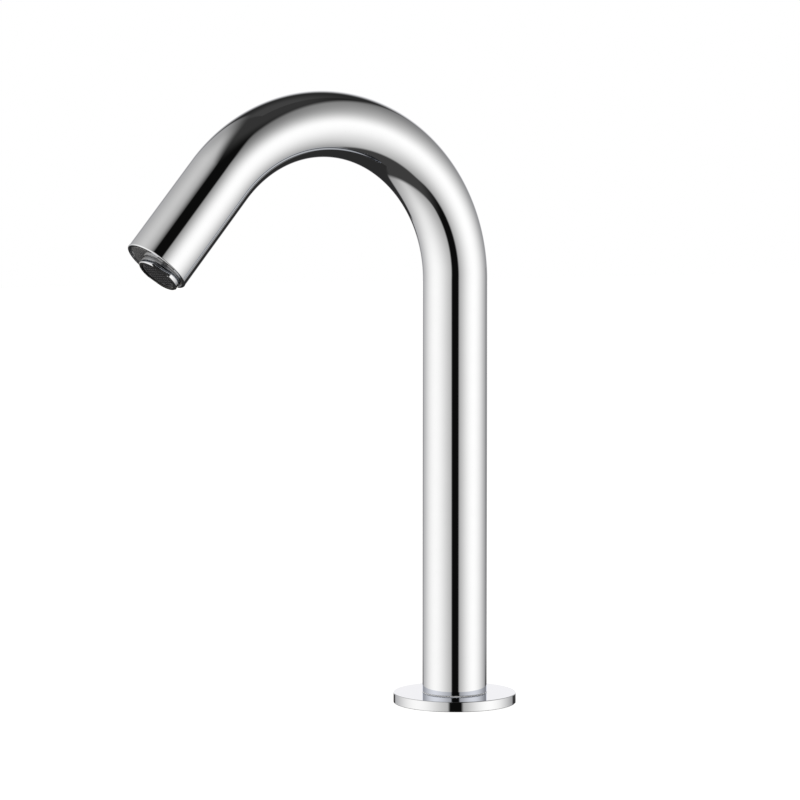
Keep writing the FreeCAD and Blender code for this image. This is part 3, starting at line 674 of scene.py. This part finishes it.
# ---------------------------------------------------------------- floor
# A plain white surface stands for the worktop. It is clear from below, so that the clamp can be
# seen from there, and the chrome reflects the light tent and not the floor.
floor_half = 6.0
floor_drop = 0.0001
paper_colour = (0.3, 0.3, 0.3, 1.0)
paper_roughness = 0.9
paper_glow = 0.93
floor_corners = [(-1, -1), (1, -1), (1, 1), (-1, 1)]
mesh = bpy.data.meshes.new("floor")
mesh.from_pydata([(x * floor_half, y * floor_half, -floor_drop) for x, y in floor_corners], [],
                 [(0, 1, 2, 3)])
floor = bpy.data.objects.new("floor", mesh)
bpy.context.scene.collection.objects.link(floor)
floor.visible_glossy = False
paper = bpy.data.materials.new("white_floor")
paper.use_nodes = True
tree = paper.node_tree
shader = tree.nodes["Principled BSDF"]
shader.inputs["Base Color"].default_value = paper_colour
shader.inputs["Roughness"].default_value = paper_roughness
shader.inputs["Specular IOR Level"].default_value = 0.0
shader.inputs["Emission Color"].default_value = (1.0, 1.0, 1.0, 1.0)
shader.inputs["Emission Strength"].default_value = paper_glow
geometry = node(tree, "ShaderNodeNewGeometry")
nothing = node(tree, "ShaderNodeBsdfTransparent")
seen = node(tree, "ShaderNodeMixShader", i0=geometry.outputs["Backfacing"],
            i1=shader.outputs["BSDF"], i2=nothing.outputs["BSDF"])
tree.links.new(seen.outputs["Shader"], tree.nodes["Material Output"].inputs["Surface"])
mesh.materials.append(paper)


# ---------------------------------------------------------------- light
# A studio tent: two large upright panels left and right of the camera with a dark gap between
# them, and a white backdrop behind the tap. Angles are in degrees, from the camera's azimuth and
# above the horizon; brightness is as seen in the chrome.
camera_azimuth = 56.295
world = bpy.data.worlds.new("light_tent")
bpy.context.scene.world = world
world.use_nodes = True
tent = world.node_tree


def calc(operation, *values):
    """One sum in the tent's node tree, on numbers and outputs of other nodes."""
    inputs = {"i%d" % k: value for k, value in enumerate(values)}
    return node(tent, "ShaderNodeMath", {"operation": operation}, **inputs).outputs[0]


def total(*values):
    """The sum of numbers and outputs of other nodes."""
    result = values[0]
    for value in values[1:]:
        result = calc("ADD", result, value)
    return result


def soft_step(value, edge, width):
    """Rises smoothly from 0 to 1 as value passes an edge of that width."""
    share = calc("DIVIDE", calc("SUBTRACT", value, edge), width)
    return node(tent, "ShaderNodeMapRange", {"interpolation_type": "SMOOTHSTEP"}, Value=share,
                From_Min=-0.5, From_Max=0.5).outputs["Result"]


def between(value, low, high, low_width, high_width):
    """1 between two soft edges, and 0 outside them."""
    rise = soft_step(value, low, low_width)
    return calc("MULTIPLY", rise, soft_step(value, high, -high_width))


towards = node(tent, "ShaderNodeTexCoord")
direction = node(tent, "ShaderNodeSeparateXYZ", Vector=towards.outputs["Generated"])
x, y, z = (direction.outputs[k] for k in "XYZ")
compass = calc("DEGREES", calc("ARCTAN2", x, calc("MULTIPLY", y, -1.0)))
azimuth = calc("WRAP", calc("SUBTRACT", compass, camera_azimuth), 180.0, -180.0)
elevation = calc("DEGREES", calc("ARCSINE", z))
level_part = calc("COSINE", calc("ARCSINE", z))
is_above = calc("GREATER_THAN", elevation, 0.0)


def glow(brightness, centre, spread, fall_below, fall_above):
    """brightness * exp(-((azimuth - centre) / spread)^2 - (elevation / fall)^2), with one fall
    below the horizon and another above it."""
    aside = calc("DIVIDE", calc("SUBTRACT", azimuth, centre), spread)
    fall = calc("ADD", fall_below, calc("MULTIPLY", is_above, fall_above - fall_below))
    up = calc("DIVIDE", elevation, fall)
    far = calc("ADD", calc("MULTIPLY", aside, aside), calc("MULTIPLY", up, up))
    return calc("MULTIPLY", calc("EXPONENT", calc("MULTIPLY", far, -1.0)), brightness)


def panel(middle, left, right, bottom, top, top_width, glows):
    """An upright panel of light: between two azimuths, and between a straight bottom and top
    edge whose elevation follows from tan(edge) * cos(azimuth - middle)."""
    edge_width = 6.0
    aside = calc("RADIANS", calc("SUBTRACT", azimuth, middle))
    height = calc("ARCTAN2", z, calc("MULTIPLY", level_part, calc("COSINE", aside)))
    across = between(azimuth, left, right, edge_width, edge_width)
    upright = between(calc("DEGREES", height), bottom, top, edge_width, top_width)
    return calc("MULTIPLY", calc("MULTIPLY", across, upright), total(*glows))


# At the horizon the gap between the panels lies even about the camera. Above and below, both its
# edges lean to the right, so many degrees for each degree of elevation, until the lean ends.
gap_half = 12.8
lean_end_below = 42.0
lean_end_above = 36.0
downwards = calc("MULTIPLY", elevation, -1.0)
below = calc("MINIMUM", calc("MAXIMUM", downwards, 0.0), lean_end_below)
above = calc("MINIMUM", calc("MAXIMUM", elevation, 0.0), lean_end_above)
gap_left = total(-gap_half, calc("MULTIPLY", below, 0.22), calc("MULTIPLY", above, 0.16))
gap_right = total(gap_half, calc("MULTIPLY", below, 0.2), calc("MULTIPLY", above, 0.47))

# Both panels reach round behind the tap, and a little further in their upper part.
panel_reach = 141.0
left_stretch = calc("MULTIPLY", soft_step(elevation, edge=-19.0, width=8.0), 9.0)
left_edge = calc("SUBTRACT", -panel_reach, left_stretch)
right_edge = total(panel_reach, calc("MULTIPLY", is_above, 10.0))
left_panel = panel(
    middle=-80.0, left=left_edge, right=gap_left, bottom=-76.0, top=72.0, top_width=17.0,
    glows=[glow(0.34, centre=-80.0, spread=140.0, fall_below=92.0, fall_above=100.0),
           glow(0.62, centre=-73.0, spread=56.0, fall_below=92.0, fall_above=66.0)])
right_panel = panel(
    middle=80.0, left=gap_right, right=right_edge, bottom=-65.5, top=62.5, top_width=10.0,
    glows=[glow(0.45, centre=88.0, spread=68.0, fall_below=75.0, fall_above=66.0),
           glow(0.60, centre=62.0, spread=51.0, fall_below=62.0, fall_above=26.0)])


def disc(brightness, centre, radius, softness):
    """A round soft patch of light, straight behind the tap at an elevation."""
    across = calc("MULTIPLY", calc("SUBTRACT", 180.0, calc("ABSOLUTE", azimuth)), level_part)
    upward = calc("SUBTRACT", elevation, centre)
    square = calc("ADD", calc("MULTIPLY", across, across), calc("MULTIPLY", upward, upward))
    return calc("MULTIPLY", soft_step(calc("SQRT", square), radius, -softness), brightness)


# Behind the tap are the backdrop, lit in two patches, and a faint band along the horizon.
backdrop_brightness = 0.72
upper_patch = disc(backdrop_brightness, centre=8.0, radius=26.0, softness=24.0)
lower_patch = disc(backdrop_brightness, centre=-3.0, radius=13.0, softness=14.0)
upper_part = soft_step(elevation, edge=-5.0, width=12.0)
backdrop = calc("MAXIMUM", calc("MULTIPLY", upper_patch, upper_part), lower_patch)
band_brightness = 0.22
behind = soft_step(calc("ABSOLUTE", azimuth), edge=138.0, width=14.0)
band = between(elevation, low=-9.3, high=12.0, low_width=1.5, high_width=20.0)
horizon = calc("MULTIPLY", calc("MULTIPLY", behind, band), band_brightness)

# What is left comes from the floor, darker behind the tap, from the ceiling and from the room.
floor_brightness = 0.042
darker_behind = 0.04
ceiling_brightness = 0.03
room_brightness = 0.0035
brighter_behind = 0.018
floor_glow = calc("SUBTRACT", floor_brightness, calc("MULTIPLY", behind, darker_behind))
under = calc("MULTIPLY", soft_step(elevation, edge=-42.0, width=-26.0), floor_glow)
over = calc("MULTIPLY", soft_step(elevation, edge=60.0, width=27.0), ceiling_brightness)
room = total(room_brightness, calc("MULTIPLY", behind, brighter_behind))
lamps = calc("MAXIMUM", total(left_panel, right_panel), calc("MAXIMUM", backdrop, horizon))
light = total(lamps, over, under, room)

red, green, blue = (calc("DIVIDE", light, part) for part in chrome_colour)
reflected = node(tent, "ShaderNodeCombineXYZ", X=red, Y=green, Z=blue)
by_camera = node(tent, "ShaderNodeLightPath")
colour = node(tent, "ShaderNodeMix", {"data_type": "RGBA"}, i0=by_camera.outputs["Is Camera Ray"],
              i6=reflected.outputs["Vector"], i7=(1.0, 1.0, 1.0, 1.0))
tent.links.new(colour.outputs[2], tent.nodes["Background"].inputs["Color"])


# ---------------------------------------------------------------- camera
# The photograph's view: a long lens a little above the middle of the tap, to its front and side.
# Pan and pitch are in degrees, from the line to the column and from level.
camera_distance = 1.4454
camera_height = 0.2517
camera_pan = 1.076
camera_pitch = -4.007
sensor_width = 36.0
focal_length = 131.93
bpy.ops.object.camera_add()
camera = bpy.context.object
camera.name = "camera"
turn = math.radians(camera_azimuth)
camera.location = (math.sin(turn) * camera_distance, -math.cos(turn) * camera_distance,
                   camera_height)
camera.rotation_euler = (math.radians(90.0 + camera_pitch), 0.0,
                         math.radians(camera_azimuth + camera_pan))
camera.data.sensor_width = sensor_width
camera.data.lens = focal_length
bpy.context.scene.camera = camera
bpy.context.scene.view_settings.view_transform = "Standard"
